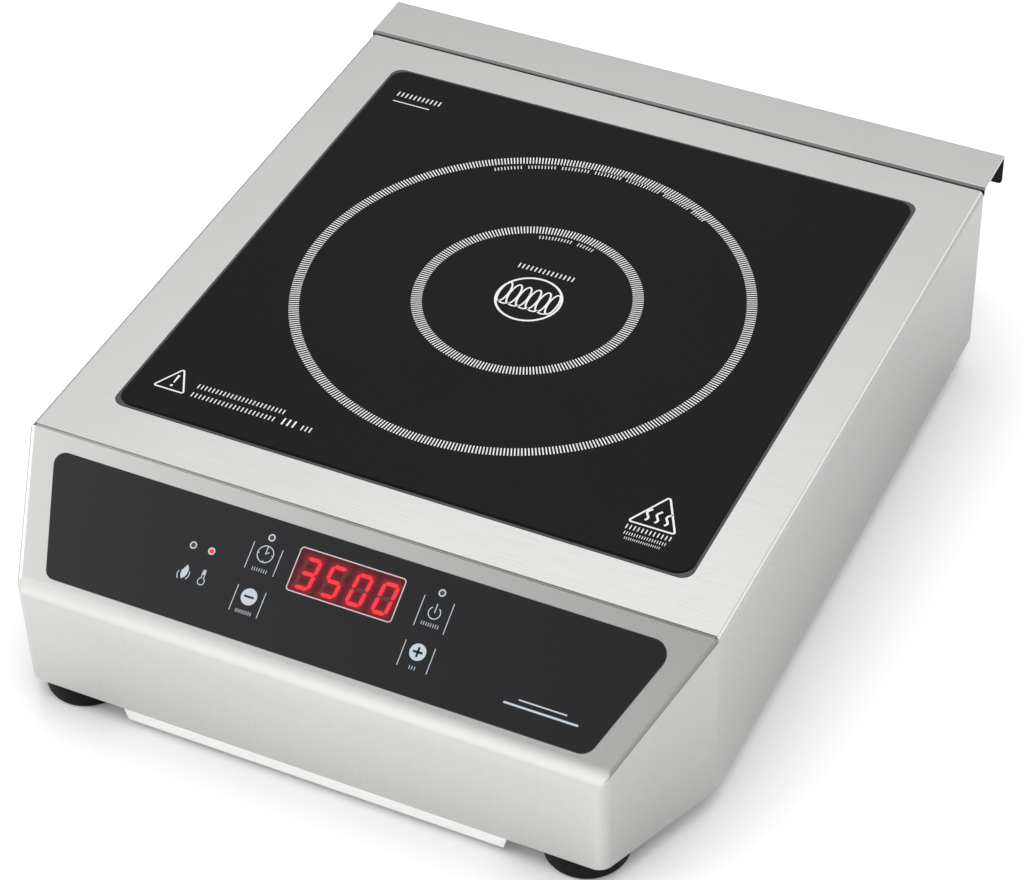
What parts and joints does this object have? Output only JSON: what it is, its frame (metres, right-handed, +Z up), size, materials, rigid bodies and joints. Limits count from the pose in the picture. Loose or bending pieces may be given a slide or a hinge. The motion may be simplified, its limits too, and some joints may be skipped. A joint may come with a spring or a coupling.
{
  "type": "induction hob",
  "caption": "Countertop induction hob: folded steel housing, black glass cooking plate, sloping control console with display, rear air deflector, rubber feet and slide-out filter tray.",
  "frame": {"origin": "on the worktop plane, under the centre of the cooking zone; it is also the middle of the footprint that the body and the tied cord take up", "axes": "+X to the right, +Y to the rear (the deflector side), +Z up"},
  "size_m": [0.33, 0.456, 0.105],
  "materials": {
    "housing_steel": "satin",
    "console_steel": "satin",
    "rear_steel": "satin",
    "deflector_steel": "satin",
    "base_steel": "satin",
    "black_glass": "polished",
    "seal_silicone": "matte",
    "frame_steel": "matte",
    "overlay_film": "satin",
    "display_film": "polished",
    "indicator_film": "satin",
    "key_film": "satin",
    "circuit_board": "satin",
    "white_nylon": "matte",
    "black_plastic": "matte",
    "display_red": "satin",
    "led_epoxy": "polished",
    "ribbon_grey": "matte",
    "litz_copper": "lacquered",
    "former_plastic": "matte",
    "ferrite": "matte",
    "mica": "matte",
    "sheet_aluminium": "satin",
    "pillar_brass": "satin",
    "zinc_screw": "satin",
    "holder_silicone": "matte",
    "sensor_metal": "satin",
    "lead_sleeve": "matte",
    "heat_sink_aluminium": "matte",
    "device_epoxy": "matte",
    "capacitor_red": "satin",
    "choke_copper": "lacquered",
    "fuse_ceramic": "satin",
    "terminal_nylon": "matte",
    "earth_green": "satin",
    "fan_plastic": "matte",
    "rotor_plastic": "matte",
    "foot_rubber": "matte",
    "tray_steel": "satin",
    "mesh_steel": "matte",
    "rail_steel": "satin",
    "relief_plastic": "matte",
    "cord_rubber": "matte",
    "tie_fabric": "matte",
    "plug_rubber": "matte",
    "pin_nickel": "polished"
  },
  "bodies": {
    "hob": {"housing": "housing_steel", "console_panel": "console_steel", "rear_panel": "rear_steel", "rear_deflector": "deflector_steel", "base_plate": "base_steel", "glass_plate": "black_glass", "glass_seal": "seal_silicone", "glass_frame": "frame_steel", "control_overlay": "overlay_film", "display_lens": "display_film", "indicator_lenses": "indicator_film", "control_board": "circuit_board", "control_spacers": "white_nylon", "tact_switches": "black_plastic", "display_module": "black_plastic", "display_segments": "display_red", "indicator_leds": "led_epoxy", "buzzer": "black_plastic", "ribbon_cable": "ribbon_grey", "coil_winding": "litz_copper", "coil_former": "former_plastic", "ferrite_bars": "ferrite", "mica_sheet": "mica", "coil_bracket": "sheet_aluminium", "coil_pillars": "pillar_brass", "coil_screws": "zinc_screw", "sensor_holder": "holder_silicone", "temperature_sensor": "sensor_metal", "coil_leads": "lead_sleeve", "main_board": "circuit_board", "board_standoffs": "white_nylon", "heat_sink": "heat_sink_aluminium", "power_transistors": "device_epoxy", "bridge_rectifier": "device_epoxy", "film_capacitors": "capacitor_red", "filter_choke": "choke_copper", "fuse": "fuse_ceramic", "terminal_block": "terminal_nylon", "earth_lead": "earth_green", "fan_frames": "fan_plastic", "fan_screws": "zinc_screw", "feet": "foot_rubber", "foot_screws": "zinc_screw", "base_screws": "zinc_screw", "rear_screws": "zinc_screw", "tray_rails": "rail_steel", "strain_relief": "relief_plastic", "power_cord": "cord_rubber", "cord_tie": "tie_fabric", "plug_body": "plug_rubber", "plug_pins": "pin_nickel"},
    "key_timer": {"key_timer": "key_film"},
    "key_down": {"key_down": "key_film"},
    "key_on_off": {"key_on_off": "key_film"},
    "key_up": {"key_up": "key_film"},
    "fan_rotor_left": {"fan_rotor_left": "rotor_plastic"},
    "fan_rotor_right": {"fan_rotor_right": "rotor_plastic"},
    "filter_tray": {"filter_tray": "tray_steel", "filter_mesh": "mesh_steel"}
  },
  "joints": [
    {"name": "key_timer_press", "type": "slide", "parent": "hob", "child": "key_timer", "axis": [0, 0.5265, -0.8501], "range_m": [0, 0.0004]},
    {"name": "key_down_press", "type": "slide", "parent": "hob", "child": "key_down", "axis": [0, 0.5265, -0.8501], "range_m": [0, 0.0004]},
    {"name": "key_on_off_press", "type": "slide", "parent": "hob", "child": "key_on_off", "axis": [0, 0.5265, -0.8501], "range_m": [0, 0.0004]},
    {"name": "key_up_press", "type": "slide", "parent": "hob", "child": "key_up", "axis": [0, 0.5265, -0.8501], "range_m": [0, 0.0004]},
    {"name": "fan_left_spin", "type": "hinge", "parent": "hob", "child": "fan_rotor_left", "pos_m": [-0.044, -0.1, 0.025], "axis": [0, 0, 1], "continuous": true},
    {"name": "fan_right_spin", "type": "hinge", "parent": "hob", "child": "fan_rotor_right", "pos_m": [0.044, -0.1, 0.025], "axis": [0, 0, 1], "continuous": true},
    {"name": "tray_slide", "type": "slide", "parent": "hob", "child": "filter_tray", "axis": [0, -1, 0], "range_m": [0, 0.15]}
  ]
}
